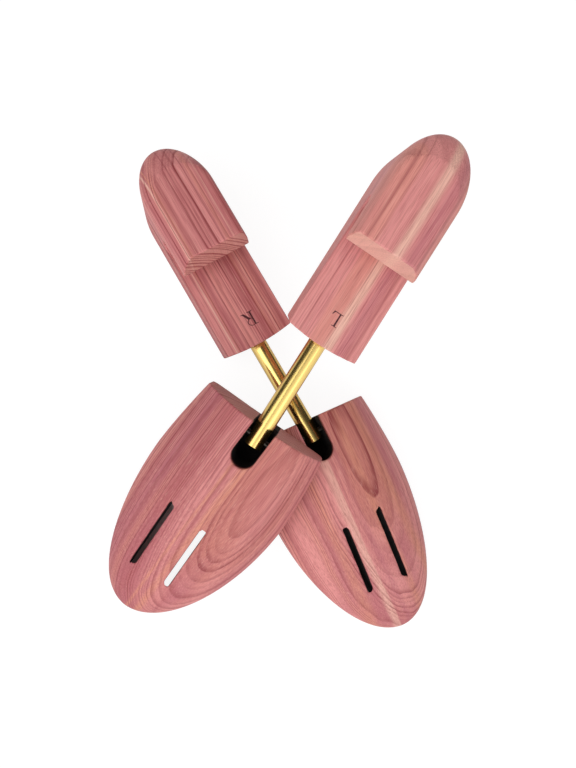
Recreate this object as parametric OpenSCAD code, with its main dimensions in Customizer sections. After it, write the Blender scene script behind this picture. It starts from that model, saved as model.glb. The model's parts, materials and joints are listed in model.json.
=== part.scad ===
// Pair of cedar shoe trees, put away crossed, with the left one lying over the right one.
// Each tree is a toe block and a heel block of cedar joined by a brass tube. The tube folds up at the
// toe block on a steel pin, and the heel block slides along it against a spring.
// The frame is +X to the right, +Y towards the heels and +Z up, in millimetres and degrees. A tree's own
// frame has its hinge pin at the origin, +Y towards its heel, and +X to the right seen from above.

/* [Toe block] */
// Length of the toe block from its back face to the tip
toe_len = 125.7; // [112:0.1:140]
// Half the width of the toe block at its widest station
toe_half_w = 39.6; // [35:0.1:44]
// Distance of the widest station from the back face
toe_widest = 42; // [34:0.5:50]
// How much narrower each side is at the back face
toe_waist = 4.3; // [1:0.1:7]
// Exponent of the outline in front of the widest station, more is blunter
toe_point = 1.9; // [1.6:0.05:2.3]
// Height of the toe block at its back face
toe_h = 32.6; // [29:0.1:38]
// Share of the height lost by the top line on its way to the tip
toe_fall = 0.55; // [0.4:0.01:0.62]
// Length of the rounded nose in front of the instep
nose_len = 20; // [14:0.5:30]
// Height of the tip's foremost point
tip_z = 10.2; // [8:0.1:12]
// Height of the widest contour above the sole
contour_z = 12.9; // [11:0.1:16]
// Radius of the sole's edge in front of the back face
sole_edge = 7; // [4:0.1:9]
// How far the centre line bends towards the inner side at the tip
toe_bend = 4.8; // [0:0.1:8]
// Turn of the block towards the outer side, seen from the hinge
toe_turn = 2; // [0:0.1:4]

/* [Vent slots] */
// Width of each slot, the saw blade's thickness
vent_w = 3.3; // [2.4:0.1:4.5]
// Distance from the back face to the middle of the slots
vent_mid = 73.7; // [66:0.1:80]
// Diameter of the saw that cuts the slots from below
saw_d = 76; // [64:1:84]
// Height of the saw's highest point above the sole
saw_top = 31; // [28:0.1:34]
// Distance between the middle lines of the two slots
vent_gap = 20.7; // [14:0.1:26]
// Offset of the pair of slots towards the inner side
vent_off = 5.4; // [0:0.1:8]

/* [Hinge] */
// Distance of the hinge pin in front of the back face
pin_t = 7.8; // [7:0.1:10]
// Height of the hinge pin above the sole
pin_z = 21.4; // [20:0.1:23]
// Diameter of the hinge pin
pin_d = 3; // [2:0.1:4]
// How far the pin's head end is sunk below the outer cheek
pin_sunk = 4; // [0.5:0.1:5]
// How far the pin goes into the inner cheek
pin_grip = 10; // [6:0.5:20]
// Width of the pocket for the tube
pocket_w = 13; // [11.5:0.1:16]
// Length of the pocket from the back face to its round end
pocket_len = 23.7; // [21:0.1:30]
// Height of the pocket's floor above the sole
pocket_floor = 7.5; // [4:0.1:11]
// Length of the ledge at the pocket's mouth that stops the tube
ledge_len = 3.5; // [2:0.1:4]
// Angle below straight at which the tube lies on the ledge
stop_angle = 6.3; // [3:0.1:9]
// Sideways play of the right toe block on its pin, as it lies
right_play = 3.9; // [0:0.02:5]
// Sideways play of the left toe block on its pin, as it lies
left_play = 4.98; // [0:0.02:5]

/* [Tube] */
// Outer diameter of the tube
tube_d = 9.6; // [8.6:0.1:10.4]
// Wall of the tube
tube_wall = 0.8; // [0.5:0.1:1.2]
// Length of the tube in front of the hinge pin
tube_nose = 4.8; // [4:0.1:6]
// Length of the tube that shows between the two blocks
tube_bare = 49.4; // [44:0.2:80]
// Travel of the heel block along the tube
slide_travel = 25; // [15:1:28]
// Length of tube behind the end of its slots
tube_tail = 8.6; // [6:0.2:12]

/* [Heel block] */
// Width of the heel block
heel_w = 39.2; // [34:0.1:46]
// Length of the heel block from its front edge to the back of the heel
heel_len = 114.5; // [110:0.5:130]
// Length of the rounded back of the heel, seen from above
heel_round = 30; // [22:0.5:36]
// Thickness of the flat tongue
tongue_h = 24; // [22:0.1:30]
// Bow of the tongue's front edge towards the toe
tongue_bow = 1.75; // [0:0.05:3]
// Undercut of the tongue's front face from upright
tongue_undercut = 10; // [0:0.5:14]
// Distance of the lip from the front edge
lip_y = 46.1; // [42:0.1:56]
// How far the lip's face leans back over its height
lip_lean = 4.2; // [0:0.1:6]
// Height of the finger groove above the tongue
groove_h = 12.2; // [8:0.1:13]
// Depth of the finger groove behind the lip
groove_len = 25; // [16:0.1:32]
// Height of the raised heel above the sole
heel_h = 48.6; // [46:0.1:56]
// Height at which the raised heel starts to draw in
shoulder_z = 36.2; // [30:0.1:38]
// Crown of the raised heel's top over its edges
crown = 0.6; // [0.3:0.1:1.5]
// How far the outer side has drawn in at the top edge
shoulder_in = 5.4; // [3:0.1:10]
// The inner side's share of that, since it is fuller
inner_share = 0.42; // [0.3:0.02:1]
// Ratio of the draw-in at the back of the heel to that at the outer side
back_draw = 2.75; // [1:0.05:3]
// Radius of the sole's edge
heel_edge = 3.5; // [1.5:0.1:5]
// Height of the tube's middle line above the heel's sole
tube_z = 11.9; // [10.5:0.1:13]

/* [Stop pin and spring] */
// Diameter of the stop pin
stop_d = 2.5; // [2:0.1:3]
// Distance of the stop pin from the tongue's front edge
stop_y = 34; // [31:0.5:38]
// How deep the stop pin goes into the wood over the tube
stop_grip = 3; // [1.5:0.1:4]
// How far the stop pin is sunk below the sole
stop_sunk = 0.5; // [0.2:0.1:1.5]
// Wire of the spring
wire_d = 1; // [0.7:0.05:1.2]
// Turns of the spring
spring_turns = 12; // [8:1:14]
// Length of the bore behind the tube, which the spring fills
spring_room = 42; // [38:0.5:46]

/* [Clearances] */
// Running clearance all round a sliding or turning metal part
run_gap = 0.06; // [0.02:0.01:0.1]
// Gap between the spring and its seats
seat_gap = 0.05; // [0.02:0.01:0.1]
// Clearance between the spring and its bore
spring_gap = 0.16; // [0.1:0.01:0.3]

/* [Crossing] */
// Turn of the right tree, seen from above
right_yaw = 32.34; // [25:0.01:40]
// Turn of the left tree, seen from above
left_yaw = -30.11; // [-40:0.01:-25]
// Distance from the right hinge pin to the crossing of the tubes
right_cross = 28.05; // [22:0.05:34]
// Distance from the left hinge pin to the crossing of the tubes
left_cross = 33.05; // [27:0.05:38]
// Sideways lean of the left tree, which lies on the right toe block
left_roll = -4; // [-5:0.1:0]
// Turn of the left heel block on its tube, as far as the slots let the stop pin go
heel_turn = 10.4; // [0:0.1:12]
// How far below the right block's back height the left sole touches it
rest_drop = 5.35; // [2:0.05:8]
// Distance of that touch from the left block's back face
rest_t = 17; // [8:0.5:30]
// Distance from the left block's tip to where its sole meets the floor
tip_back = 5.5; // [3:0.5:9]
// Gap left between the two trees and under the tip
rest_gap = 0.3; // [0.1:0.05:1]

/* [Hidden] */
cedar = [0.72, 0.43, 0.41];
brass = [0.86, 0.7, 0.36];
steel = [0.72, 0.73, 0.75];
over = 1;
fine = 48;

tube_r = tube_d / 2;
pin_reach = tube_bare + pin_t;
slot_y = stop_y - slide_travel;
slot_w = stop_d / cos(heel_turn) + tube_d * tan(heel_turn) + 2 * run_gap;
tube_end = stop_y + slot_w / 2 + tube_tail;
bore_r = tube_r + run_gap;
bore_depth = tube_end + spring_room;
pin_swing = max(right_play, left_play);
pin_hole_r = pin_d / 2 / cos(pin_swing) + tube_r * tan(pin_swing) + run_gap;
ledge_z = pin_z - tube_r / cos(stop_angle) - pin_t * tan(stop_angle) - seat_gap;

// Resting place: the right tree lies flat, with the end of its heel on the floor. The left tree's sole
// lies on the right toe block, its tip is on the floor and its hinge hangs at its stop.
right_droop = asin((pin_z - tube_z) / (pin_reach + heel_len - heel_edge));
left_pitch = asin((toe_h - rest_drop) / (toe_len - tip_back - rest_t));
left_pin_z = pin_z * cos(left_pitch) + (toe_len - tip_back - pin_t) * sin(left_pitch) + rest_gap;
left_rise = left_pitch - stop_angle;
// Place of the tubes' crossing that puts the middle of the pair's box at the origin
cross_at = [2.4, 2.06, 0];

// Half width of the toe block at the distance t from its back face
function toe_side(t) = t > toe_widest
    ? toe_half_w * sqrt(1 - pow((t - toe_widest) / (toe_len - toe_widest), toe_point))
    : toe_half_w - toe_waist * pow((toe_widest - t) / toe_widest, 1.6);
// Offset of the centre line towards the inner side
function toe_mid(t) = 1.4 + toe_bend * pow(t / toe_len, 2.5);
// Height of the top line, an arched instep that ends in a round nose
function toe_top(t) =
    let(instep = toe_h * (1 - toe_fall * pow(t / toe_len, 2.4)))
    let(into = max(0, t - toe_len + nose_len) / nose_len)
    tip_z + (instep - tip_z) * sqrt(1 - into * into);
// Height of the widest contour
function toe_contour(t) = contour_z - (contour_z - tip_z) * pow(t / toe_len, 4);
// Height of the sole, flat up to the curl under the tip
function toe_sole(t) =
    let(into = max(0, t - toe_len + 1.3 * sole_edge) / (1.3 * sole_edge))
    tip_z * (1 - sqrt(1 - into * into));
// One cross-section of the toe block: a crowned top over a rounded sole edge
function toe_ring(t, inset = 0) =
    let(w = toe_side(t) - inset)
    let(zc = toe_contour(t))
    let(top = toe_top(t) - inset)
    let(low = toe_sole(t) + inset)
    let(r = sole_edge * (0.45 + 0.55 * min(1, t / 20)))
    let(rise = min(r, 0.85 * (zc - low)))
    let(run = min(1.15 * r, 0.6 * w))
    [for (p = concat(
        [for (i = [0:16]) let(a = i * 180 / 16)
            [sign(cos(a)) * w * pow(abs(cos(a)), 0.909), zc + (top - zc) * pow(sin(a), 1.5)]],
        [for (i = [0:4]) let(a = i * 90 / 4) [-w + run - run * cos(a), low + rise * (1 - sin(a))]],
        [for (i = [4:-1:0]) let(a = i * 90 / 4) [w - run + run * cos(a), low + rise * (1 - sin(a))]]))
        [p[0] + toe_mid(t), pin_t - t, p[1] - pin_z]];
// Stations of the cross-sections, closer together towards the tip
toe_stations = concat([0.8, 6, 12, 18, 24, 30, 36],
    [for (i = [0:18]) toe_widest + (toe_len - toe_widest) * sin(i * 88.5 / 18)]);

// Draw-in of the heel block's sides at the height z
function heel_in(z) =
    z < heel_edge ? heel_edge - sqrt(pow(heel_edge, 2) - pow(heel_edge - z, 2)) :
    z < shoulder_z ? 0 :
    z < heel_h ? shoulder_in * pow((z - shoulder_z) / (heel_h - crown - shoulder_z), 2.2) :
    shoulder_in + 4 * crown;
// One level of the right heel block: a bowed front, straight sides and an elliptical back. Over the
// shoulder the inner side, at +X, draws in less than the outer one.
function heel_level(z) =
    let(inset = heel_in(z))
    let(outer = heel_w / 2 - inset)
    let(inner = z < shoulder_z ? outer : outer + (1 - inner_share) * min(inset, shoulder_in))
    let(back = heel_round - (z < shoulder_z ? inset : back_draw * inset))
    let(front = max(0, tongue_h - z) * tan(tongue_undercut))
    concat(
        [for (i = [-3:3])
            [(i < 0 ? outer : inner) * i / 3, front - tongue_bow * (1 - pow(i / 3, 2)), z]],
        [for (i = [0:24]) let(a = i * 180 / 24)
            [(i > 12 ? outer : inner) * cos(a), heel_len - heel_round + back * sin(a), z]]);
heel_levels = concat(
    [for (s = [0, 0.1, 0.3, 0.6, 1]) s * heel_edge],
    [tongue_h, shoulder_z],
    [for (s = [0.25, 0.45, 0.62, 0.77, 0.9, 1]) shoulder_z + s * (heel_h - crown - shoulder_z)],
    [heel_h]);

// Middle line of the spring along y: closed-up end turns and even turns between them
end_pitch = wire_d + 0.5;
spring_len = spring_room - 2 * seat_gap;
spring_r = bore_r - spring_gap - wire_d / 2;
mid_pitch = (spring_len - wire_d - 2 * end_pitch) / (spring_turns - 2);
ring_step = 45;
function spring_along(turn) =
    tube_end + seat_gap + wire_d / 2 + end_pitch * min(turn, 1)
    + mid_pitch * max(0, min(turn, spring_turns - 1) - 1) + end_pitch * max(0, turn - spring_turns + 1);
// Ring of six points round the wire
function spring_ring(i) =
    let(a = i * ring_step)
    [for (k = [0:5]) let(b = k * 60) let(r = spring_r + wire_d / 2 * cos(b))
        [r * cos(a), spring_along(a / 360) + wire_d / 2 * sin(b), tube_z + r * sin(a)]];
spring_rings = [for (i = [0:spring_turns * 360 / ring_step]) spring_ring(i)];
// Least gap of the spring to itself, over rings that lie about a turn apart
spring_least = min([for (i = [0:len(spring_rings) - 10], j = [i + 7:i + 9], p = spring_rings[i],
    q = spring_rings[j]) norm(p - q)]);
echo(spring_least_gap = spring_least);

// Closed skin over rings of equal count that turn left seen from the last ring, with flat ends
module loft(rings) {
    m = len(rings[0]);
    last = (len(rings) - 1) * m;
    sides = [for (i = [0:len(rings) - 2], j = [0:m - 1], half = [0, 1])
        let(a = i * m + j)
        let(b = i * m + (j + 1) % m)
        half == 0 ? [a, a + m, b + m] : [a, b + m, b]];
    polyhedron(
        points = [for (ring = rings, p = ring) p],
        faces = concat([[for (j = [0:m - 1]) j]], sides, [[for (j = [m - 1:-1:0]) last + j]]));
}

// Round bar along +Y from the point at
module bar_y(at, d, length) {
    translate(at)
        rotate([-90, 0, 0])
            cylinder(d = d, h = length, $fn = fine);
}

// Round bar along +X from the point at
module bar_x(at, d, length) {
    translate(at)
        rotate([0, 90, 0])
            cylinder(d = d, h = length, $fn = fine);
}

// Slot along Y with round ends, cut upwards from the height low; from and to are its ends
module slot_y(x, from, to, w, low, high) {
    translate([x - w / 2, from + w / 2, low])
        cube([w, to - from - w, high - low]);
    for (y = [from + w / 2, to - w / 2])
        translate([x, y, low])
            cylinder(d = w, h = high - low, $fn = fine);
}

// Toe block of the right tree in the hinge's frame, with its inner side at +X
module toe_block() {
    difference() {
        rotate([0, 0, -toe_turn])
            difference() {
                loft(concat([toe_ring(0, 0.8)], [for (t = toe_stations) toe_ring(t)]));
                for (side = [-1, 1])
                    translate([vent_off + side * vent_gap / 2, pin_t - vent_mid, saw_top - saw_d / 2 - pin_z])
                        rotate([0, 90, 0])
                            cylinder(d = saw_d, h = vent_w, center = true, $fn = 2 * fine);
            }
        pocket();
        bar_x([-toe_half_w - over, 0, 0], pin_d, toe_half_w + over + pocket_w / 2 + pin_grip);
    }
}

// Pocket for the tube: a deep slot with a round end, and a ledge at its mouth
module pocket() {
    round_y = pin_t - pocket_len + pocket_w / 2;
    translate([0, round_y, pocket_floor - pin_z])
        cylinder(d = pocket_w, h = toe_h, $fn = fine);
    translate([-pocket_w / 2, round_y, pocket_floor - pin_z])
        cube([pocket_w, pin_t - ledge_len - round_y, toe_h]);
    translate([-pocket_w / 2, round_y, ledge_z - pin_z])
        cube([pocket_w, pin_t + 2 * over - round_y, toe_h]);
}

// Hinge pin, from just below the surface of the outer cheek into the inner cheek
module hinge_pin() {
    level = (pin_z - contour_z) / (toe_top(pin_t) - contour_z);
    cheek = toe_side(pin_t) * pow(1 - pow(level, 2 / 1.5), 0.4545) - toe_mid(pin_t);
    bar_x([pin_sunk - cheek, 0, 0], pin_d, cheek - pin_sunk + pocket_w / 2 + pin_grip);
}

// Tube in the heel block's frame, where y = 0 is the tongue's front edge and z = 0 the sole
module tube() {
    difference() {
        bar_y([0, -pin_reach - tube_nose, tube_z], tube_d, pin_reach + tube_nose + tube_end);
        bar_y([0, -pin_reach - tube_nose - over, tube_z], tube_d - 2 * tube_wall,
            pin_reach + tube_nose + tube_end + 2 * over);
        bar_x([-tube_d, -pin_reach, tube_z], 2 * pin_hole_r, 2 * tube_d);
        slot_y(0, slot_y - slot_w / 2, stop_y + slot_w / 2, slot_w, tube_z - tube_d, tube_z + tube_d);
    }
}

// Side view of what is cut away over the tongue and for the fingers, in y and z
module grip_profile() {
    lip_rise = heel_h - tongue_h - groove_h + over;
    lean = lip_lean * lip_rise / (heel_h - tongue_h - groove_h);
    translate([-2 * tongue_bow - over, tongue_h])
        square([lip_y + groove_len - groove_h / 2 + 2 * tongue_bow + over, groove_h]);
    translate([lip_y + groove_len - groove_h / 2, tongue_h + groove_h / 2])
        circle(d = groove_h, $fn = fine);
    polygon([[-2 * tongue_bow - over, tongue_h + groove_h / 2], [lip_y, tongue_h + groove_h / 2],
        [lip_y, tongue_h + groove_h], [lip_y + lean, heel_h + over],
        [-2 * tongue_bow - over, heel_h + over]]);
}

// Heel block of the right tree in its own frame, with its inner side at +X
module heel_block() {
    difference() {
        loft([for (z = heel_levels) heel_level(z)]);
        translate([-heel_w / 2 - over, 0, 0])
            rotate([90, 0, 90])
                linear_extrude(heel_w + 2 * over)
                    grip_profile();
        bar_y([0, -over - tongue_bow, tube_z], 2 * bore_r, bore_depth + over + tongue_bow);
        translate([0, stop_y, -over])
            cylinder(d = stop_d, h = tube_z + bore_r + stop_grip + over, $fn = fine);
    }
}

// Stop pin, from just inside the sole up through the tube's slots
module stop_pin() {
    translate([0, stop_y, stop_sunk])
        cylinder(d = stop_d, h = tube_z + bore_r + stop_grip - stop_sunk, $fn = fine);
}

// Right tree's frame: it lies flat, turned about the crossing
module right_place() {
    translate([right_cross * sin(right_yaw), -right_cross * cos(right_yaw), pin_z] + cross_at)
        rotate([0, 0, right_yaw])
            children();
}

// Left tree's frame: it is lifted onto the right toe block and leans a little
module left_place() {
    translate([left_cross * sin(left_yaw), -left_cross * cos(left_yaw), left_pin_z] + cross_at)
        rotate([0, 0, left_yaw])
            rotate([0, left_roll, 0])
                children();
}

// The heel block, the tube and what rides with them, tipped about the hinge pin
module tipped(rise) {
    rotate([rise, 0, 0])
        translate([0, pin_reach, -tube_z])
            children();
}

module right_toe() {
    right_place()
        rotate([0, 0, -right_play])
            children();
}

module right_heel() {
    right_place()
        tipped(-right_droop)
            children();
}

module left_toe() {
    left_place()
        rotate([left_pitch, 0, 0])
            rotate([0, 0, -left_play])
                mirror([1, 0, 0])
                    children();
}

module left_heel() {
    left_place()
        tipped(left_rise)
            children();
}

// The left heel block and its stop pin, turned on the tube
module left_turned() {
    left_heel()
        translate([0, 0, tube_z])
            rotate([0, heel_turn, 0])
                translate([0, 0, -tube_z])
                    children();
}

module right_toe_block() { color(cedar) right_toe() toe_block(); }
module right_hinge_pin() { color(steel) right_toe() hinge_pin(); }
module right_tube() { color(brass) right_heel() tube(); }
module right_heel_block() { color(cedar) right_heel() heel_block(); }
module right_stop_pin() { color(steel) right_heel() stop_pin(); }
module right_spring() { color(steel) right_heel() loft(spring_rings); }
module left_toe_block() { color(cedar) left_toe() toe_block(); }
module left_hinge_pin() { color(steel) left_toe() hinge_pin(); }
module left_tube() { color(brass) left_heel() tube(); }
module left_heel_block() { color(cedar) left_turned() mirror([1, 0, 0]) heel_block(); }
module left_stop_pin() { color(steel) left_turned() stop_pin(); }
module left_spring() { color(steel) left_heel() loft(spring_rings); }

right_toe_block();
right_hinge_pin();
right_tube();
right_heel_block();
right_stop_pin();
right_spring();
left_toe_block();
left_hinge_pin();
left_tube();
left_heel_block();
left_stop_pin();
left_spring();
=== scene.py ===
# %% [markdown]
# # A pair of cedar shoe trees, crossed
# The object is two wooden shoe trees, put away crossed with the left one on top. Each has two blocks of
# red cedar, a brass tube between them, and small steel parts that are mostly hidden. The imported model
# already holds every piece at its real size, so this lesson only dresses it: the four cedar blocks are
# made again as finer surfaces, and every finish is worked out by nodes.

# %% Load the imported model
import bpy
import json
import math
import mathutils
import numpy as np
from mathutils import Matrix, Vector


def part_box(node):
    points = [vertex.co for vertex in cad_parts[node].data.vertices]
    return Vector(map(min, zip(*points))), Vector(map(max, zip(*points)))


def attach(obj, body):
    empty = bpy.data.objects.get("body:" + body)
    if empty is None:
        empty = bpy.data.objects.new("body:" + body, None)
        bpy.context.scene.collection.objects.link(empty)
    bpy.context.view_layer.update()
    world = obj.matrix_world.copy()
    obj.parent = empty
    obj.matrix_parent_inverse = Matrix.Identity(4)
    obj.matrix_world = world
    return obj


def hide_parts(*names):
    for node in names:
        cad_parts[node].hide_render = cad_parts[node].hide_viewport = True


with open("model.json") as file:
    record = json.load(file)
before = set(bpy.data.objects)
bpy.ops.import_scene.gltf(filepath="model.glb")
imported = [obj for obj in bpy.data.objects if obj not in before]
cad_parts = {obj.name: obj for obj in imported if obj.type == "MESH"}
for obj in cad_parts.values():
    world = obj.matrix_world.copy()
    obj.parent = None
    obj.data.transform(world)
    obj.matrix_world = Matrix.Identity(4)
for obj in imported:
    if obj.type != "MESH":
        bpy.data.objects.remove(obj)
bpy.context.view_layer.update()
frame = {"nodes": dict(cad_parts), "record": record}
joints = {j["name"]: j for j in frame["record"]["behaviour"]["joints"]}

# %% [markdown]
# ## Local frames
# A block is easiest to describe in its own frame, in millimetres: x across, y along the tree towards the
# heel, z up. The hinge pin is the origin of the toe block's frame. The heel block's frame starts at the
# front edge of its sole. Each is the same few turns as in the solid model, about the pin that the hinge
# joint gives. The finer surfaces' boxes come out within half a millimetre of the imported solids' boxes.

# %% Turns and places of the four blocks
MM = 0.001
PIN_T = 7.8  # from the toe block's back face to the hinge pin
PIN_Z = 21.4  # from the toe block's sole up to the hinge pin
PIN_REACH = 57.2  # from the hinge pin to the heel block's front edge
TUBE_Z = 11.9  # from the heel block's sole up to the tube's middle line
TOE_TURN = -2.0  # turn of the toe block's outline against its pocket, in degrees

# How each tree lies, as turns in degrees. "toe" and "heel" are the slopes of the toe block and of the tube.
LYING = {
    "right": {"yaw": 32.34, "roll": 0.0, "toe": 0.0, "play": -3.9, "heel": -3.238, "heel_turn": 0.0},
    "left": {"yaw": -30.11, "roll": -4.0, "toe": 15.311, "play": -4.98, "heel": 9.011, "heel_turn": 10.4},
}


def unit(vector):
    """The vector at length one."""
    return np.asarray(vector, float) / np.linalg.norm(vector)


def to_matrix(axes, origin):
    """A Blender matrix from axes in columns and an origin."""
    matrix = np.eye(4)
    matrix[:3, :3], matrix[:3, 3] = axes, origin
    return mathutils.Matrix(matrix.tolist())


def turn(axis, degrees):
    """Right-handed turn about x, y or z, as a matrix whose columns are the turned axes."""
    a, b = {"x": (1, 2), "y": (2, 0), "z": (0, 1)}[axis]
    c, s = math.cos(math.radians(degrees)), math.sin(math.radians(degrees))
    matrix = np.eye(3)
    matrix[a, a] = matrix[b, b] = c
    matrix[b, a], matrix[a, b] = s, -s
    return matrix


def place_of(side, block):
    """(origin in metres, axes) of a block. The left blocks' x axis is mirrored."""
    lie = LYING[side]
    pin = np.array(joints[side + "_heel_fold"]["pos_m"])
    tree = turn("z", lie["yaw"]) @ turn("y", lie["roll"])
    mirror = np.diag([1 if side == "right" else -1, 1, 1])
    if block == "toe":
        return pin, tree @ turn("x", lie["toe"]) @ turn("z", lie["play"]) @ mirror
    tube, twist = tree @ turn("x", lie["heel"]), turn("y", lie["heel_turn"])
    return pin + tube @ ([0, PIN_REACH, 0] + twist @ [0, 0, -TUBE_Z]) * MM, tube @ twist @ mirror


for tree_side in ("right", "left"):
    pin_axis = place_of(tree_side, "toe")[1][:, 0]
    print(tree_side, "pin axis", np.round(np.abs(pin_axis), 4),
          "joint says", np.round(np.abs(joints[tree_side + "_heel_fold"]["axis"]), 4))

# %% [markdown]
# ## From rings to a solid
# A carved block is a stack of closed outlines. Here each outline is a row of a numpy array, so a whole block
# is one array of rings. Neighbouring rings are joined by quads and the two ends are closed, which gives a
# watertight skin. The cuts are made with exact booleans, and a voxel remesh afterwards gives the even
# small quads and the slightly softened edges of sanded wood.

# %% Skins, cutters and the sanded solid
VOXEL = {"toe": 0.62, "heel": 0.6}
SANDING = {"factor": 0.5, "iterations": 2}
OVERLAP = 2.0  # how far a cutter reaches past a side or into its neighbour


def new_mesh(name, points, faces):
    """Mesh data from an array of points and a list of faces."""
    mesh = bpy.data.meshes.new(name)
    mesh.from_pydata(np.asarray(points, float), [], faces)
    mesh.validate()
    return mesh


def skin(rings):
    """Points and faces of a closed skin over rings of shape (count, points on a ring, 3)."""
    count, around, _ = rings.shape
    i, j = np.meshgrid(np.arange(count - 1), np.arange(around), indexing="ij")
    a, b = (i * around + j).ravel(), (i * around + (j + 1) % around).ravel()
    quads = np.column_stack([a, b, b + around, a + around]).tolist()
    ends = [list(range(around))[::-1], list(range((count - 1) * around, count * around))]
    return rings.reshape(-1, 3), quads + ends


def prism(outline, low, high, axis="z"):
    """Points and faces of an outline carried straight from low to high along z, or along x."""
    outline = np.asarray(outline, float)
    ends = [np.column_stack([outline, np.full(len(outline), level)]) for level in (low, high)]
    points, faces = skin(np.stack(ends))
    return (points[:, [2, 0, 1]] if axis == "x" else points), faces


def arc(cx, cy, radius, start, end, steps=24):
    """Points on an arc: the centre plus the radius times cosine and sine of the angle in degrees."""
    a = np.radians(np.linspace(start, end, steps + 1))
    return np.column_stack([cx + radius * np.cos(a), cy + radius * np.sin(a)])


def bar_along_y(radius, low, high, z):
    """Round bar along y between low and high, at the height z."""
    circle = arc(0, 0, radius, 0, 360, 64)[:-1]
    points, faces = prism(circle, low, high)
    return np.column_stack([points[:, 0], points[:, 2], z - points[:, 1]]), faces


def bake_modifier(piece, kind, **settings):
    """Adds one modifier and writes its result into the piece's mesh."""
    modifier = piece.modifiers.new(kind.title(), kind)
    for key, value in settings.items():
        setattr(modifier, key, value)
    graph = bpy.context.evaluated_depsgraph_get()
    result = bpy.data.meshes.new_from_object(piece.evaluated_get(graph))
    piece.modifiers.clear()
    piece.data = result


def carved(name, body, cutters, voxel):
    """A block cut by its cutters and sanded, still in its own frame. Sizes are in millimetres."""
    piece = bpy.data.objects.new(name, new_mesh(name, *body))
    bpy.context.scene.collection.objects.link(piece)
    for cutter_shape in cutters:
        cutter = bpy.data.objects.new(name + "_cutter", new_mesh(name + "_cutter", *cutter_shape))
        bpy.context.scene.collection.objects.link(cutter)
        bake_modifier(piece, "BOOLEAN", operation="DIFFERENCE", solver="EXACT", object=cutter)
        bpy.data.objects.remove(cutter)
    bake_modifier(piece, "REMESH", mode="VOXEL", voxel_size=voxel, use_smooth_shade=True)
    bake_modifier(piece, "SMOOTH", **SANDING)
    return piece


print("voxels of the sanded blocks in mm:", VOXEL)

# %% [markdown]
# ## The lasted toe block
# This is the piece that takes most skill: its outline is that of a shoe's front, its top is a crowned
# instep that falls to a round nose, and its sole is flat with a rolled edge. Every station along the block
# has a half width, a middle line, a top height and a contour height, each a short formula of the distance t
# from the back face, the same ones as in the solid model.

# %% Sizes of the toe block
TOE = {"length": 125.7, "half": 39.6, "widest": 42.0, "waist": 4.3, "point": 1.9, "height": 32.6,
       "fall": 0.55, "nose": 20.0, "tip_z": 10.2, "contour": 12.9, "edge": 7.0, "bend": 4.8, "off": 1.4}
POWER = {"waist": 1.6, "bend": 2.5, "fall": 2.4, "contour": 4, "side": 0.909, "crown": 1.5}
POCKET = {"width": 13.0, "length": 23.7, "floor": 7.5, "ledge": 3.5, "ledge_z": 15.65,
          "past": 5.0, "open_to": 30.0}
# "middle" is the saw's centre. The crown falls towards the tip, so the slots' own middle lies nearer to it.
VENT = {"width": 3.3, "middle": 73.7, "saw": 38.0, "saw_top": 31.0, "gap": 20.7, "off": 5.4}


def toe_rings(stations, around=56):
    """Cross-sections of the toe block at the distances t from its back face.

    Half width: a superellipse in front of the widest station, a gentle waist behind it.
    Top: an instep curve with an elliptical nose. Between the sides, the crown follows cosine and sine of
    one angle, each to a power. The sole's edge is a quarter ellipse, 0.45 of its full size at the back
    face and full from 20 mm on, and the sole curls up to the tip over the last 1.3 of its size.
    """
    t = np.asarray(stations, float)[:, None]
    s = TOE
    front = np.clip((t - s["widest"]) / (s["length"] - s["widest"]), 0, 1)
    behind = np.clip((s["widest"] - t) / s["widest"], 0, 1)
    half = np.where(t > s["widest"], s["half"] * np.sqrt(1 - front ** s["point"]),
                    s["half"] - s["waist"] * behind ** POWER["waist"])
    middle = s["off"] + s["bend"] * (t / s["length"]) ** POWER["bend"]
    instep = s["height"] * (1 - s["fall"] * (t / s["length"]) ** POWER["fall"])
    nose = np.clip((t - s["length"] + s["nose"]) / s["nose"], 0, 1)
    top = s["tip_z"] + (instep - s["tip_z"]) * np.sqrt(1 - nose ** 2)
    contour = s["contour"] - (s["contour"] - s["tip_z"]) * (t / s["length"]) ** POWER["contour"]
    curl = np.clip((t - s["length"] + 1.3 * s["edge"]) / (1.3 * s["edge"]), 0, 1)
    low = s["tip_z"] * (1 - np.sqrt(1 - curl ** 2))
    edge = s["edge"] * (0.45 + 0.55 * np.clip(t / 20, 0, 1))
    rise = np.minimum(edge, 0.85 * (contour - low))
    run = np.minimum(1.15 * edge, 0.6 * half)
    a = np.linspace(0, math.pi, around)[None, :]
    crown_x = np.sign(np.cos(a)) * np.abs(np.cos(a)) ** POWER["side"] * half
    crown_z = contour + (top - contour) * np.sin(a) ** POWER["crown"]
    q = np.linspace(0, math.pi / 2, around // 6)[None, :]
    left_x, low_z = -half + run - run * np.cos(q), low + rise * (1 - np.sin(q))
    sole_x = np.linspace(-1, 1, around // 2)[None, 1:-1] * (half - run)
    x = np.hstack([crown_x, left_x, sole_x, -left_x[:, ::-1]]) + middle
    z = np.hstack([crown_z, low_z, np.repeat(low, sole_x.shape[1], 1), low_z[:, ::-1]])
    return np.stack([x, np.repeat(PIN_T - t, x.shape[1], 1), z - PIN_Z], 2)


def toe_stations():
    """Distances from the back face: even along the block, then closer and closer to the tip."""
    nose = TOE["widest"] + (TOE["length"] - TOE["widest"]) * np.sin(np.radians(np.linspace(0, 89.2, 70)))
    return np.concatenate([np.linspace(0, TOE["widest"], 30)[:-1], nose])


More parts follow.
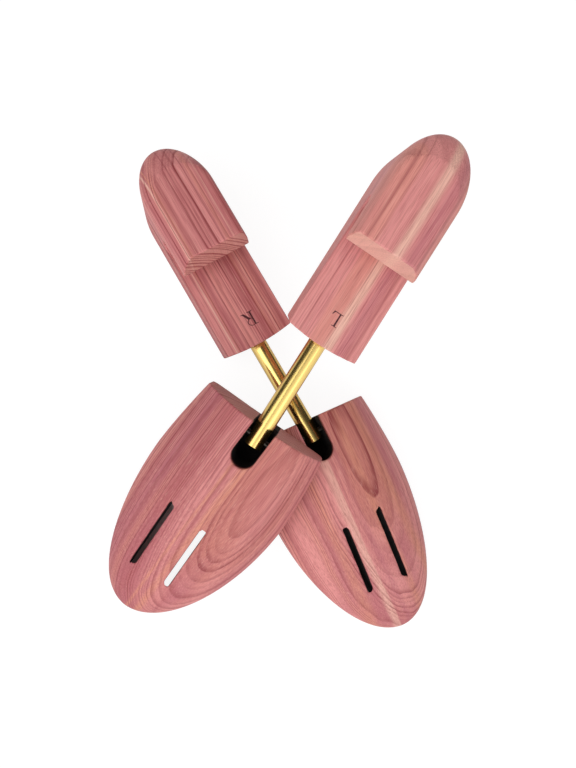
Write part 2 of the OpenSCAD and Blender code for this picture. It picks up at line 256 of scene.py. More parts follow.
def toe_block(side):
    """The toe block with its vent slots, its hinge pocket and the ledge at the pocket's mouth."""
    body, faces = skin(toe_rings(toe_stations()))
    body = body @ turn("z", TOE_TURN).T
    cutters = []
    saw_z = VENT["saw_top"] - VENT["saw"] - PIN_Z
    saw = arc(PIN_T - VENT["middle"], saw_z, VENT["saw"], 0, 360, 160)[:-1]
    for way in (-1, 1):
        middle = VENT["off"] + way * VENT["gap"] / 2
        points, saw_faces = prism(saw, middle - VENT["width"] / 2, middle + VENT["width"] / 2, axis="x")
        cutters.append((points @ turn("z", TOE_TURN).T, saw_faces))
    half, round_y = POCKET["width"] / 2, PIN_T - POCKET["length"] + POCKET["width"] / 2
    end = arc(0, round_y, half, 180, 360)
    inner, mouth = PIN_T - POCKET["ledge"], PIN_T + POCKET["past"]
    deep = np.vstack([end, [[half, inner], [-half, inner]]])
    shallow = [[-half, inner - OVERLAP], [half, inner - OVERLAP], [half, mouth], [-half, mouth]]
    for outline, low in ((deep, POCKET["floor"]), (shallow, POCKET["ledge_z"])):
        cutters.append(prism(outline, low - PIN_Z, POCKET["open_to"]))
    return carved(side + "_toe_cedar", (body, faces), cutters, VOXEL["toe"])


print("toe block:", len(toe_stations()), "stations")

# %% [markdown]
# ## The heel block
# The heel block is sawn from a plank: a flat tongue, and behind it the raised heel with a lip and a finger
# groove. It is easiest as a stack of level outlines, each a bowed front, two straight sides and half an
# ellipse at the back. Above the shoulder the outlines draw in, more at the back than at the sides.

# %% Sizes and surface of the heel block
HEEL = {"width": 39.2, "length": 114.5, "round": 30.0, "tongue": 24.0, "bow": 1.75, "undercut": 10.0,
        "lip": 46.1, "lean": 4.2, "groove_h": 12.2, "groove": 25.0, "height": 48.6, "shoulder": 36.2,
        "crown": 0.6, "draw": 5.4, "draw_power": 2.2, "inner_share": 0.42, "back_draw": 2.75, "edge": 3.5,
        "ahead": 9.0}
BORE = {"radius": 4.95, "depth": 34.0}  # only the first part of the bore, the rest is out of sight


def heel_rings(around=96):
    """Level outlines of the heel block from the sole to its crown.

    Draw-in: a quarter circle at the sole, nothing up to the shoulder, then a power curve to the top edge
    and a soft last step over the crown. The inner side, at +x, has only a share of the draw-in.
    """
    s = HEEL
    edge_angle = np.radians(np.linspace(90, 0, 9))
    low_z, low_in = s["edge"] * (1 - np.sin(edge_angle)), s["edge"] * (1 - np.cos(edge_angle))
    mid_z = np.linspace(s["edge"], s["shoulder"], 30)[1:]
    rim = s["height"] - s["crown"]
    up = np.linspace(0, 1, 25)[1:]
    up_z, up_in = s["shoulder"] + up * (rim - s["shoulder"]), s["draw"] * up ** s["draw_power"]
    cap = np.linspace(0, 1, 7)[1:]
    cap_z, cap_in = rim + s["crown"] * np.sin(cap * math.pi / 2), s["draw"] + 4 * s["crown"] * cap ** 2
    z = np.concatenate([low_z, mid_z, up_z, cap_z])[:, None]
    inset = np.concatenate([low_in, 0 * mid_z, up_in, cap_in])[:, None]
    outer = s["width"] / 2 - inset
    inner = outer + np.where(z < s["shoulder"], 0, (1 - s["inner_share"]) * np.minimum(inset, s["draw"]))
    back = s["round"] - np.where(z < s["shoulder"], inset, s["back_draw"] * inset)
    front = np.clip(s["tongue"] - z, 0, None) * math.tan(math.radians(s["undercut"]))
    u = np.linspace(-1, 1, around // 3)[None, :]
    a = np.linspace(0, math.pi, around)[None, :]
    side_y = np.linspace(0, 1, 24)[None, 1:-1]
    corner, start = front, s["length"] - s["round"]
    x = np.hstack([np.where(u < 0, outer, inner) * u, inner * np.ones_like(side_y),
                   np.where(np.cos(a) < 0, outer, inner) * np.cos(a), -outer * np.ones_like(side_y)])
    y = np.hstack([front - s["bow"] * (1 - u ** 2), corner + (start - corner) * side_y,
                   start + back * np.sin(a), start + (corner - start) * side_y])
    return np.stack([x, y, np.repeat(z, x.shape[1], 1)], 2)


def grip_outline():
    """Side view, in y and z, of what is cut away over the tongue and for the fingers."""
    s = HEEL
    low, high, top = s["tongue"], s["tongue"] + s["groove_h"], s["height"] + 1
    lean = s["lean"] * (top - high) / (s["height"] - high)
    r = s["groove_h"] / 2
    end = arc(s["lip"] + s["groove"] - r, low + r, r, -90, 90)
    return np.vstack([[[-s["ahead"], low]], end,
                      [[s["lip"], high], [s["lip"] + lean, top], [-s["ahead"], top]]])


def heel_block(side):
    """The heel block with its notch, groove and the mouth of the tube's bore."""
    half = HEEL["width"] / 2 + OVERLAP
    cutters = [prism(grip_outline(), -half, half, axis="x"),
               bar_along_y(BORE["radius"], -HEEL["ahead"], BORE["depth"], TUBE_Z)]
    return carved(side + "_heel_cedar", skin(heel_rings()), cutters, VOXEL["heel"])


print("heel block:", heel_rings().shape[0], "levels")

# %% [markdown]
# ## Placing the blocks
# Each block is made in its own frame and then written into the shared frame, point by point, so that its
# object stays at the origin. Two floats go with every point. One says how squarely the grain ends there,
# because wood looks different where a cut crosses the grain. The other says how deep the point lies in the
# hinge pocket, in a saw slot or in the heel's bore. It sets both the painted shade that darkens these hollows
# and their rougher, unsanded surface.

# %% Make and place the four blocks
# Painted shade: where and how deep the hinge pocket, the saw slots and the heel's bore are darkened.
PAINTED_SHADE = {"from": 0.5, "pocket": 5.5, "slot": 2.0, "margin": 0.3, "end_margin": 0.4, "slot_reach": 37.0,
        "bore_radius": 5.3, "bore_end": 40.0, "bore_fade": 30.0}


def painted_shade_of(points, block):
    """Painted shade of machined hollows at points in millimetres: 0 on open faces, 1 deep inside.

    Depth is the height of the toe block's crown over the point. It counts from 0.5 mm, and reaches its full
    effect at 2.5 mm in a slot and at 6 mm in the pocket. In the heel block only the bore counts, fully up
    to 10 mm behind the front edge and not at all from 40 mm.
    """
    x, y, z = points.T
    if block == "heel":
        fade = np.clip((PAINTED_SHADE["bore_end"] - y) / PAINTED_SHADE["bore_fade"], 0, 1)
        return fade * (np.hypot(x, z - TUBE_Z) < PAINTED_SHADE["bore_radius"])
    t = PIN_T - y
    along = np.clip(t, 0, TOE["length"] - 1) / TOE["length"]
    front = np.clip((t - TOE["widest"]) / (TOE["length"] - TOE["widest"]), 0, 0.99)
    half = TOE["half"] * np.sqrt(1 - front ** TOE["point"])
    share = np.clip(np.abs(x - TOE["off"]) / half, 0, 1) ** 1.1
    crown = TOE["height"] * (1 - TOE["fall"] * along ** POWER["fall"]) - TOE["contour"]
    over = TOE["contour"] + crown * (1 - share ** 2) ** (POWER["crown"] / 2) - PIN_Z
    depth = over - z - PAINTED_SHADE["from"]
    beside_pocket, pocket_end = POCKET["width"] / 2 + PAINTED_SHADE["margin"], POCKET["length"] + PAINTED_SHADE["end_margin"]
    in_pocket = (np.abs(x) < beside_pocket) & (t < pocket_end)
    straight = points @ turn("z", TOE_TURN)
    beside = np.abs(np.abs(straight[:, 0] - VENT["off"]) - VENT["gap"] / 2)
    from_middle = np.abs(PIN_T - straight[:, 1] - VENT["middle"])
    in_slot = (beside < VENT["width"] / 2 + PAINTED_SHADE["margin"]) & (from_middle < PAINTED_SHADE["slot_reach"])
    return np.clip(depth / PAINTED_SHADE["pocket"], 0, 1) * in_pocket + np.clip(depth / PAINTED_SHADE["slot"], 0, 1) * in_slot


def settle(piece, side, block):
    """Writes a block's points into the shared frame and stores its end grain and the depth for its painted
    shade.

    End grain is the size of the unit normal's part along the block's own y axis.
    """
    origin, axes = place_of(side, block)
    mesh = piece.data
    points = np.empty(len(mesh.vertices) * 3)
    normals = np.empty(len(mesh.vertices) * 3)
    mesh.vertices.foreach_get("co", points)
    mesh.vertices.foreach_get("normal", normals)
    points, normals = points.reshape(-1, 3), normals.reshape(-1, 3)
    # The second float sets the painted shade of the hollows.
    floats = {"end_grain": np.abs(normals[:, 1]), "painted_shade": painted_shade_of(points, block)}
    placed = points @ axes.T * MM + origin
    mesh.vertices.foreach_set("co", placed.ravel())
    if np.linalg.det(axes) < 0:
        mesh.flip_normals()
    for name, values in floats.items():
        mesh.attributes.new(name, "FLOAT", "POINT").data.foreach_set("value", values)
    mesh.update()
    node = side + "_" + block + "_block"
    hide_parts(node)
    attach(piece, side + "_" + block)
    lowest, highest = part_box(node)
    off = [np.abs(placed.min(0) - lowest).max() / MM, np.abs(placed.max(0) - highest).max() / MM]
    print(piece.name, len(mesh.polygons), "faces, off the solid's box by", np.round(off, 2), "mm")
    return piece


BLOCKS = {}
for tree_side in ("right", "left"):
    BLOCKS[tree_side, "toe"] = settle(toe_block(tree_side), tree_side, "toe")
    BLOCKS[tree_side, "heel"] = settle(heel_block(tree_side), tree_side, "heel")

# %% [markdown]
# ## Writing shader maths as expressions
# Cedar is mostly arithmetic: distances from the pith, waves, thresholds. The class below wraps a socket so
# that such sums can be typed as sums. Numbers go through Math nodes and colours through Mix nodes.

# %% A socket that does arithmetic


class Value:
    """A number that changes over a surface, held by an output socket."""

    def __init__(self, finish, socket):
        self.finish, self.socket = finish, socket

    def _math(self, operation, *inputs):
        return self.finish.node("ShaderNodeMath", {"operation": operation}, *inputs)

    def __add__(self, other):
        return self._math("ADD", self, other)

    def __mul__(self, other):
        return self._math("MULTIPLY", self, other)

    def __sub__(self, other):
        return self._math("SUBTRACT", self, other)

    def __rsub__(self, other):
        return self._math("SUBTRACT", other, self)

    def __truediv__(self, other):
        return self._math("DIVIDE", self, other)

    def __pow__(self, other):
        return self._math("POWER", self, other)

    __radd__, __rmul__ = __add__, __mul__

    def floor(self):
        """The whole number below."""
        return self._math("FLOOR", self)

    def fract(self):
        """What is left over the whole number below."""
        return self._math("FRACT", self)

    def step(self, low, high):
        """0 up to low, 1 from high, and a smooth ramp between them."""
        settings = {"interpolation_type": "SMOOTHSTEP"}
        return self.finish.node("ShaderNodeMapRange", settings, self, low, high)

    def bring(self, axis):
        """One part of a vector, named X, Y or Z."""
        return self.finish.node("ShaderNodeSeparateXYZ", {}, self, output=axis)

    def bump_at(self, middle, width):
        """1 at the middle, falling smoothly to 0 at the width on both sides."""
        return self._math("ABSOLUTE", self - middle).step(width, 0)


class Finish:
    """A material whose nodes are made by one method."""

    def __init__(self, name, **constants):
        self.material = bpy.data.materials.new(name)
        self.material.use_nodes = True
        self.nodes, self.links = self.material.node_tree.nodes, self.material.node_tree.links
        self.shader = self.nodes["Principled BSDF"]
        for socket, value in constants.items():
            self.shader.inputs[socket.replace("_", " ")].default_value = value

    def node(self, kind, settings=None, *inputs, output=0, **named):
        """Adds a node, sets it up, then fills its sockets in order or by name, and wraps one output."""
        node = self.nodes.new(kind)
        for key, value in (settings or {}).items():
            setattr(node, key, value)
        pairs = list(enumerate(inputs)) + [(key.replace("_", " "), value) for key, value in named.items()]
        for key, value in pairs:
            if isinstance(value, Value):
                self.links.new(value.socket, node.inputs[key])
            else:
                node.inputs[key].default_value = value
        return Value(self, node.outputs[output])

    def mix(self, factor, first, second, way="MIX"):
        """Colour mix: first where the factor is 0, second where it is 1."""
        node = self.nodes.new("ShaderNodeMix")
        node.data_type, node.blend_type = "RGBA", way
        for index, value in ((0, factor), (6, first), (7, second)):
            if isinstance(value, Value):
                self.links.new(value.socket, node.inputs[index])
            else:
                node.inputs[index].default_value = value
        return Value(self, node.outputs[2])

    def feed(self, socket, value):
        """Links a value to one of the shader's sockets."""
        self.links.new(value.socket, self.shader.inputs[socket])


def srgb(red, green, blue):
    """A colour as seen on a screen, 0 to 255, turned into the linear values that shaders use."""
    values = [c / 255 for c in (red, green, blue)]
    return tuple(c / 12.92 if c <= 0.04045 else ((c + 0.055) / 1.055) ** 2.4 for c in values) + (1.0,)


print("a grey of 128 in linear light:", round(srgb(128, 128, 128)[0], 3))

# %% [markdown]
# ## Cedar
# Growth rings are near-cylinders round a pith that lies outside the sawn block. Where a ring meets the
# surface at a steep angle it draws a fine straight line, and where the surface curves away until it is
# level with the ring, it draws an arch. So the wood is a solid pattern of the distance from the pith, and
# choosing the pith's place chooses where the arches come. Four layers are laid over each other:
# bands of heartwood colour, the rings' dark latewood lines, streaks at chosen places across the block, and
# fine fibres along the grain, which also give the bump. End grain comes last, and then painted shade that
# darkens the hollows.

# %% The wood as a solid pattern
# The last two colours are painted shade for the hollows, not colours of the wood.
CEDAR = {"pale": srgb(226, 147, 143), "deep": srgb(172, 84, 88), "line": srgb(136, 42, 48),
         "purple": srgb(176, 94, 108), "tan": srgb(218, 144, 116), "cream": srgb(240, 188, 170),
         "painted_shade_mid": srgb(96, 30, 28), "painted_shade_black": srgb(14, 5, 4)}


class Wood(Finish):
    """A finish that knows a block's own millimetres: x across, y along the grain, z up."""

    def __init__(self, name, side, block):
        super().__init__(name)
        origin, axes = place_of(side, block)
        upright = axes @ np.diag([np.sign(np.linalg.det(axes)), 1, 1])
        here = self.node("ShaderNodeTexCoord", output="Object")
        local = self.node("ShaderNodeMapping", {"vector_type": "TEXTURE"}, here, tuple(origin),
                          tuple(mathutils.Matrix(upright.tolist()).to_euler()), (MM, MM, MM))
        self.x, self.y, self.z = [local.bring(axis) for axis in "XYZ"]

    def noise(self, across, along, detail=2.0, shift=0.0, roughness=0.5):
        """Noise with its own frequency per millimetre across and along the grain, near 0.5 on average."""
        at = self.node("ShaderNodeCombineXYZ", {}, self.x * across + shift, self.y * along, self.z * across)
        return self.node("ShaderNodeTexNoise", {}, Vector=at, Scale=1.0, Detail=detail, Roughness=roughness)

    def along_line(self, value, scale, detail=1.0):
        """Noise that depends on one value only."""
        line = {"noise_dimensions": "1D"}
        return self.node("ShaderNodeTexNoise", line, W=value, Scale=scale, Detail=detail)


def cedar(name, side, block, pith, ring, streaks, wave=3.0, tone=0.5, lines=0.6, ends=0.6):
    """Cedar for one block.

    pith (x, z) and ring, the mean ring width, are in the block's millimetres. wave is the height of the slow
    waves in the rings. tone moves the base from deep to pale. lines is the strength of the latewood, and
    ends is its strength on the end grain. streaks lists places across the block as (x, half width, colour
    name, strength).
    """
    wood = Wood(name, side, block)
    slow = (wood.noise(0.035, 0.009) - 0.5) * (wave * 4) + (wood.noise(0.12, 0.02, shift=9.0) - 0.5) * wave
    across, up = wood.x - pith[0] + slow, wood.z - pith[1]
    reach = (across * across + up * up) ** 0.5
    rings = reach / ring + wood.along_line(reach, 0.11) * 5
    year = rings.fract()
    late = year.step(0.35, 0.9) * (1 - year.step(0.93, 1.0))
    strong = wood.along_line(rings.floor(), 0.73, 3.0).step(0.38, 0.66)
    broken = wood.noise(0.25, 0.012, shift=4.0).step(0.3, 0.6) * 0.5 + 0.5
    band = wood.along_line(reach, 0.09, 2.0)
    colour = wood.mix(band.step(0.35, 0.65) * 0.6 + (tone - 0.3), CEDAR["deep"], CEDAR["pale"])
    warm = wood.along_line(reach + 70, 0.07, 2.0).step(0.48, 0.66)
    colour = wood.mix(warm * 0.35, colour, CEDAR["tan"])
    cool = wood.noise(0.05, 0.006, shift=21.0).step(0.52, 0.7)
    colour = wood.mix(cool * 0.4, colour, CEDAR["purple"])
    drift = wood.x + slow * 0.3
    for middle, width, shade, strength in streaks:
        ragged = wood.noise(0.6, 0.008, shift=middle + 40) * 1.2 + 0.4
        colour = wood.mix(drift.bump_at(middle, width) * ragged * strength, colour, CEDAR[shade])
    colour = wood.mix(late * broken * (strong * 0.75 + 0.25) * lines, colour, CEDAR["line"])
    fibre = wood.noise(2.6, 0.07, detail=3.0, shift=2.0, roughness=0.65)
    colour = wood.mix(fibre.step(0.4, 0.75) * 0.45, colour, CEDAR["line"])
    light_fibre = wood.noise(3.4, 0.05, detail=2.0, shift=31.0).step(0.52, 0.8)
    colour = wood.mix(light_fibre * 0.35, colour, CEDAR["cream"])
    cut = wood.node("ShaderNodeAttribute", {"attribute_name": "end_grain"}, output="Fac").step(0.7, 0.97)
    pores = wood.noise(2.2, 2.2, shift=5.0).step(0.35, 0.75)
    base = wood.mix(tone, CEDAR["deep"], CEDAR["cream"])
    colour = wood.mix(cut * 0.7, colour, wood.mix(late * ends + pores * 0.25, base, CEDAR["line"]))
    # Painted shade: the hollows turn dark red-brown, then near black with depth.
    painted_shade = wood.node("ShaderNodeAttribute", {"attribute_name": "painted_shade"}, output="Fac")
    colour = wood.mix(painted_shade.step(0, 0.5), colour, CEDAR["painted_shade_mid"])
    colour = wood.mix(painted_shade.step(0.2, 1), colour, CEDAR["painted_shade_black"])
    wood.feed("Base Color", colour)
    wood.feed("Roughness", wood.node("ShaderNodeMath", {"operation": "MAXIMUM"}, fibre * 0.25 + 0.42, painted_shade))
    height = fibre + late * 0.4 + pores * cut
    wood.feed("Normal", wood.node("ShaderNodeBump", {}, Strength=0.35, Distance=0.0002, Height=height))
    return wood.material


def dress(piece, material):
    """Gives a piece one material."""
    piece.data.materials.clear()
    piece.data.materials.append(material)


dress(BLOCKS["right", "heel"], cedar(
    "cedar_right_heel", "right", "heel", (-64, -34), 1.8,
    [(-14, 0.8, "cream", 0.9), (-12.3, 0.5, "tan", 0.8), (-7, 3, "pale", 0.5), (-1, 0.6, "line", 0.5),
     (3, 1.0, "line", 0.4), (6.5, 0.5, "line", 0.5), (9, 2.0, "tan", 0.3), (12, 0.8, "cream", 0.4),
     (16, 2.5, "line", 0.35)],
    tone=0.55, wave=0.8, lines=1.0, ends=0.8))
dress(BLOCKS["left", "heel"], cedar(
    "cedar_left_heel", "left", "heel", (90, -60), 2.2,
    [(3.5, 4.0, "cream", 1.1), (-13, 1.0, "line", 0.4), (-9, 0.6, "line", 0.3), (11, 6, "purple", 0.5),
     (15, 1.5, "line", 0.35)], tone=1.15, wave=1.0, lines=0.4, ends=0.1))
dress(BLOCKS["right", "toe"], cedar(
    "cedar_right_toe", "right", "toe", (27, 46), 2.1,
    [(-14, 5, "tan", 0.5), (-3, 3.5, "cream", 0.7), (-1, 1.2, "cream", 0.5), (5, 3, "purple", 0.4),
     (14, 4, "tan", 0.5), (27, 5, "tan", 0.6), (-27, 4, "pale", 0.5)], tone=0.68, wave=5.5, lines=0.85))
dress(BLOCKS["left", "toe"], cedar(
    "cedar_left_toe", "left", "toe", (33, 40), 1.5,
    [(-28, 8, "purple", 0.6), (-10, 3, "deep", 0.4), (-2, 1.5, "tan", 0.6), (4, 3, "tan", 0.6),
     (12, 2, "deep", 0.35), (26, 6, "pale", 0.4)],
    tone=0.46, wave=1.6, lines=0.9))
print("cedar finishes:", [m.name for m in bpy.data.materials if m.name.startswith("cedar")])

# %% [markdown]
# ## Brass and steel
# The tubes are polished brass, so nearly all of their look is what they reflect. Very fine lines along the
# tube, left by drawing and buffing, soften the reflections a little. The pins and springs are plain steel,
# except that the hinge pin's colour is darkened to near black as painted shade of the pocket it sits in.

# %% Metal finishes for the imported metal nodes


def metal(name, colour, roughness, wear):
    """A metal whose roughness rises a little where a small noise is high."""
    finish = Finish(name, Metallic=1.0, Base_Color=colour)
    here = finish.node("ShaderNodeTexCoord", output="Object")
    cloud = finish.node("ShaderNodeTexNoise", {}, Vector=here, Scale=160.0, Detail=4.0)
    finish.feed("Roughness", cloud * wear + roughness)
    return finish.material


METALS = {
    "tube": metal("polished_brass", (0.80, 0.57, 0.19, 1.0), 0.17, 0.08),
    # The hinge pin's near-black colour is painted shade of the pocket, not the steel's own colour.
    "hinge_pin": metal("hinge_steel_painted_shade", (0.04, 0.035, 0.03, 1.0), 0.3, 0.2),
    "stop_pin": metal("cut_steel", (0.3, 0.3, 0.31, 1.0), 0.25, 0.2),
    "spring": metal("spring_wire", (0.3, 0.3, 0.32, 1.0), 0.25, 0.1),
}
for tree_side in ("right", "left"):
    for part, material in METALS.items():
        dress(frame["nodes"][tree_side + "_" + part], material)
print("metal nodes dressed:", 2 * len(METALS))

# %% [markdown]
# ## Left and right marks
# The tongues carry a printed capital each, so that the pair can be told apart. They are plain serif letters
# drawn here from stems, serifs and arcs, as flat shapes just above the wood.

# %% Letters L and R
LETTER_HEIGHT = {"left": 7.1, "right": 8.0}
DRAWN_HEIGHT = 6.3
THICK, LIFT = 0.05, 0.06  # of the plates, and their middle over the wood


def flat_letter(name, outlines):
    """A thin plate from closed outlines in millimetres. An outline inside another is a hole."""
    curve = bpy.data.curves.new(name, "CURVE")
    curve.dimensions, curve.fill_mode, curve.extrude = "2D", "BOTH", THICK / 2
    for outline in outlines:
        spline, count = curve.splines.new("POLY"), len(outline)
        spline.points.add(count - 1)
        spline.points.foreach_set("co", np.column_stack([outline, np.zeros(count), np.ones(count)]).ravel())
        spline.use_cyclic_u = True
    shape = bpy.data.objects.new(name, curve)
    bpy.context.scene.collection.objects.link(shape)
    mesh = bpy.data.meshes.new_from_object(shape.evaluated_get(bpy.context.evaluated_depsgraph_get()))
    bpy.data.objects.remove(shape)
    piece = bpy.data.objects.new(name, mesh)
    bpy.context.scene.collection.objects.link(piece)
    return piece


def letter_l():
    """Capital L: a stem with flat serifs and a foot that ends in an upright tip."""
    return [np.array([[0, 0], [4.6, 0], [4.9, 1.8], [4.65, 1.8], [3.9, 0.35], [1.75, 0.35], [1.75, 5.95],
                      [2.8, 6.1], [2.8, 6.3], [0, 6.3], [0, 6.1], [1.0, 5.95], [1.0, 0.35], [0, 0.2]])]


def letter_r():
    """Capital R: a stem, a bowl of two arcs and a straight leg. The second outline is the bowl's eye."""
    bowl = arc(2.6, 4.65, 1.65, 90, -62, 14)
    rest = [[4.9, 0.3], [5.6, 0.2], [5.6, 0], [4.1, 0], [2.2, 3.0], [1.75, 3.0], [1.75, 0.35],
            [2.8, 0.2], [2.8, 0], [0, 0], [0, 0.2], [1.0, 0.35], [1.0, 5.95], [0, 6.1]]
    outer = np.vstack([[[0, 6.3]], bowl, rest])
    eye = np.vstack([[[1.75, 6.05]], arc(2.5, 4.65, 1.4, 85, -85, 12), [[1.75, 3.25]]])
    return [outer, eye]


def mark(side, outlines, centre, middle):
    """Puts a letter on the tongue, its head towards the toe, and writes it into the shared frame."""
    piece = flat_letter(side + "_letter", outlines)
    grow = LETTER_HEIGHT[side] / DRAWN_HEIGHT
    origin, axes = place_of(side, "heel")
    axes = axes @ np.diag([np.sign(np.linalg.det(axes)), 1, 1])
    points = np.empty(len(piece.data.vertices) * 3)
    piece.data.vertices.foreach_get("co", points)
    points = (points.reshape(-1, 3) - np.array([*middle, 0])) @ np.diag([-grow, -grow, 1])
    points = (points + np.array([*centre, HEEL["tongue"] + LIFT])) @ axes.T * MM + origin
    piece.data.vertices.foreach_set("co", points.ravel())
    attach(piece, side + "_heel")
    return piece


INK = Finish("letter_ink", Base_Color=srgb(70, 18, 26), Roughness=0.6)
ink_at = INK.node("ShaderNodeTexCoord", output="Object")
speck = INK.node("ShaderNodeTexNoise", {}, Vector=ink_at, Scale=2500.0)
INK.feed("Base Color", INK.mix(speck.step(0.4, 0.8) * 0.5, srgb(66, 16, 24), srgb(118, 50, 52)))
dress(mark("left", letter_l(), (-0.9, 13.3), (2.5, 3.15)), INK.material)
dress(mark("right", letter_r(), (0.9, 12.6), (2.8, 3.15)), INK.material)
print("letter heights in mm:", LETTER_HEIGHT)

# %% [markdown]
# ## White surroundings, light and camera
# The photograph is cut out on pure white, and only one of the four slots shows white through it. The floor
# glows for the camera and keeps a faint shadow. Metal sees it bright by the toes and nearly dark by the
# heels. Three soft ovals are painted shadow: they don't glow and are coloured dark grey, where the camera's
# sight lines through the other three slots meet the floor, so those slots look dark. This holds for the
# photo's camera only. Softboxes stand in front of the toes, and the room is dimmer behind the heels, which
# gives the tubes their bright and dark stripes.

# %% Floor
CAMERA_AT = (-0.04627, -0.04306, 0.43947)
SHADED = (("left", 1), ("right", 1), ("right", -1))  # tree, and the slot's side of the pair's middle
SLOT_FROM, SLOT_TO = (61, 7.0), (99, 0.0)  # ends of a slot: distance from the back face, height over the pin
# The ovals are painted shadow on the floor: dark grey and without glow.
OVAL = {"forward": 0.025, "sideways": 0.005, "dark_below": 0.5, "lit_from": 1.7, "tone": 0.3}
PAPER = {"tone": 0.9, "glow": 1.1, "glow_share": 0.82}
METAL_SEES = {"ramp": (0.05, -0.08), "gain": 0.75, "least": 0.06}
FLOOR_HALF = 3.0
FLOOR_DROP = 0.0003


def grey(level):
    """A neutral colour."""
    return (level, level, level, 1.0)


def floor_under(side, points):
    """Where the camera's sight lines through points of a toe block, in its millimetres, meet the floor."""
    origin, axes = place_of(side, "toe")
    placed = np.asarray(points, float) @ turn("z", TOE_TURN).T @ axes.T * MM + origin
    line = placed - CAMERA_AT
    return (CAMERA_AT - line * (CAMERA_AT[2] / line[:, 2:]))[:, :2]


corners = [[a * FLOOR_HALF, b * FLOOR_HALF, -FLOOR_DROP] for a, b in ((-1, -1), (1, -1), (1, 1), (-1, 1))]
floor = bpy.data.objects.new("floor", new_mesh("floor", corners, [[0, 1, 2, 3]]))
bpy.context.scene.collection.objects.link(floor)
paper = Finish("white_floor", Roughness=0.8)
paths = paper.nodes.new("ShaderNodeLightPath")
spot = paper.node("ShaderNodeTexCoord", output="Object")
camera_ray, transmission_ray, glossy_ray = [
    Value(paper, paths.outputs["Is " + kind + " Ray"]) for kind in ("Camera", "Transmission", "Glossy")]
by_the_toes = spot.bring("Y").step(*METAL_SEES["ramp"]) * METAL_SEES["gain"] + METAL_SEES["least"]
seen = camera_ray + transmission_ray + glossy_ray * by_the_toes
lit = 1
for side, hand in SHADED:
    across = VENT["off"] + hand * VENT["gap"] / 2
    ends = floor_under(side, [[across, PIN_T - t, z] for t, z in (SLOT_FROM, SLOT_TO)])
    from_x, from_y = [spot.bring(axis) - float(middle) for axis, middle in zip("XY", ends.mean(0))]
    ahead = unit(ends[1] - ends[0])
    forward, sideways = [from_x * float(a) + from_y * float(b) for a, b in (ahead, (-ahead[1], ahead[0]))]
    reach = (forward / OVAL["forward"]) ** 2 + (sideways / OVAL["sideways"]) ** 2
    lit = reach.step(OVAL["dark_below"], OVAL["lit_from"]) * lit
# Painted shadow: inside the ovals the floor's colour drops from 0.9 to a dark grey, and below they lose their
# glow.
paper.feed("Base Color", paper.mix(lit, grey(OVAL["tone"]), grey(PAPER["tone"])))
glow = paper.node("ShaderNodeEmission", {}, grey(1.0), PAPER["glow"])
plain = Value(paper, paper.shader.outputs[0])
mixed = paper.node("ShaderNodeMixShader", {}, seen * lit * PAPER["glow_share"], plain, glow)
paper.links.new(mixed.socket, paper.nodes["Material Output"].inputs["Surface"])
dress(floor, paper.material)
print("ovals of the floor that don't glow:", len(SHADED))

# %% Room and lamps
world = bpy.data.worlds.new("white_room")
bpy.context.scene.world = world
world.use_nodes = True
room = world.node_tree
room.nodes.clear()


def room_node(kind, **inputs):
    """A node of the world, with its sockets filled by name."""
    node = room.nodes.new(kind)
    for key, value in inputs.items():
        node.inputs[key.replace("_", " ")].default_value = value
    return node


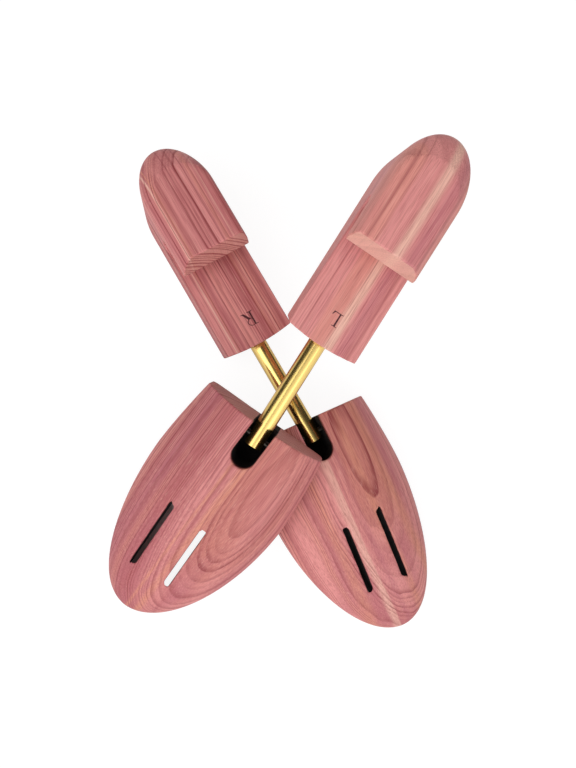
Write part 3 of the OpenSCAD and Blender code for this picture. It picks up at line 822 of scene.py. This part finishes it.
# The camera sees white, matte surfaces an even fill, and metal a ramp from the heels' side to the toes' side.
white = room_node("ShaderNodeBackground", Color=(1.0, 1.0, 1.0, 1.0), Strength=1.0)
fill = room_node("ShaderNodeBackground", Color=(1.0, 0.98, 0.98, 1.0), Strength=0.5)
mirror = room_node("ShaderNodeBackground", Strength=1.0)
direction = room_node("ShaderNodeTexCoord")
parts = room_node("ShaderNodeSeparateXYZ")
slope = room_node("ShaderNodeMapRange", From_Min=0.3, From_Max=-0.42, To_Min=0.06, To_Max=1.2)
slope.interpolation_type = "SMOOTHSTEP"
rays = room_node("ShaderNodeLightPath")
unseen, surroundings = room_node("ShaderNodeMixShader"), room_node("ShaderNodeMixShader")
out = room_node("ShaderNodeOutputWorld")
for source, target in (
        (direction.outputs["Generated"], parts.inputs[0]), (parts.outputs["Y"], slope.inputs["Value"]),
        (slope.outputs[0], mirror.inputs["Color"]),
        (rays.outputs["Is Glossy Ray"], unseen.inputs[0]), (fill.outputs[0], unseen.inputs[1]),
        (mirror.outputs[0], unseen.inputs[2]),
        (rays.outputs["Is Camera Ray"], surroundings.inputs[0]), (unseen.outputs[0], surroundings.inputs[1]),
        (white.outputs[0], surroundings.inputs[2]), (surroundings.outputs[0], out.inputs[0])):
    room.links.new(source, target)


def softbox(name, at, aim, width, height, watts):
    """An area lamp at a point, turned to face another point, in metres."""
    lamp = bpy.data.lights.new(name, "AREA")
    lamp.shape, lamp.size, lamp.size_y, lamp.energy = "RECTANGLE", width, height, watts
    box = bpy.data.objects.new(name, lamp)
    back = unit(np.array(at) - np.array(aim))
    side = unit(np.cross([0, 1, 0.2], back))
    box.matrix_world = to_matrix(np.column_stack([side, np.cross(back, side), back]), at)
    bpy.context.scene.collection.objects.link(box)


softbox("front_box", (0.1, -0.9, 0.85), (0, -0.03, 0.03), 2.0, 1.0, 7)
softbox("side_box", (-0.75, -0.25, 0.95), (0, 0, 0.03), 1.0, 1.0, 5)

# %% [markdown]
# ## Camera
# The camera looks nearly straight down from 44 cm. Its place, its focal length in pixels and the picture's
# nadir, the point straight below the camera, come from fitting the blocks' outlines to the photograph. The
# fit is weak in one direction: a higher camera with a longer lens fits almost as well.

# %% Camera from its nadir and focal length
FRAME_W, FRAME_H = 576, 768
FOCAL_PX = 770.72
NADIR_PX = (191.72, 468.42)
CAMERA_TWIST = -0.0389
SENSOR = 36.0

down = unit([(NADIR_PX[0] - FRAME_W / 2) / FOCAL_PX, -(NADIR_PX[1] - FRAME_H / 2) / FOCAL_PX, -1.0])
up_seen = -down
east = np.array([math.cos(CAMERA_TWIST), math.sin(CAMERA_TWIST), 0.0])
east = unit(east - up_seen * (up_seen @ east))
world_in_camera = np.column_stack([east, np.cross(up_seen, east), up_seen])
lens = bpy.data.cameras.new("camera")
lens.sensor_fit, lens.sensor_height, lens.sensor_width = "VERTICAL", SENSOR, SENSOR
lens.lens = FOCAL_PX / FRAME_H * SENSOR
lens.clip_start, lens.clip_end = 0.01, 20.0
camera = bpy.data.objects.new("camera", lens)
camera.matrix_world = to_matrix(world_in_camera.T, CAMERA_AT)
bpy.context.scene.collection.objects.link(camera)
bpy.context.scene.camera = camera
bpy.context.scene.view_settings.view_transform = "Standard"
print("lens", round(lens.lens, 2), "mm")
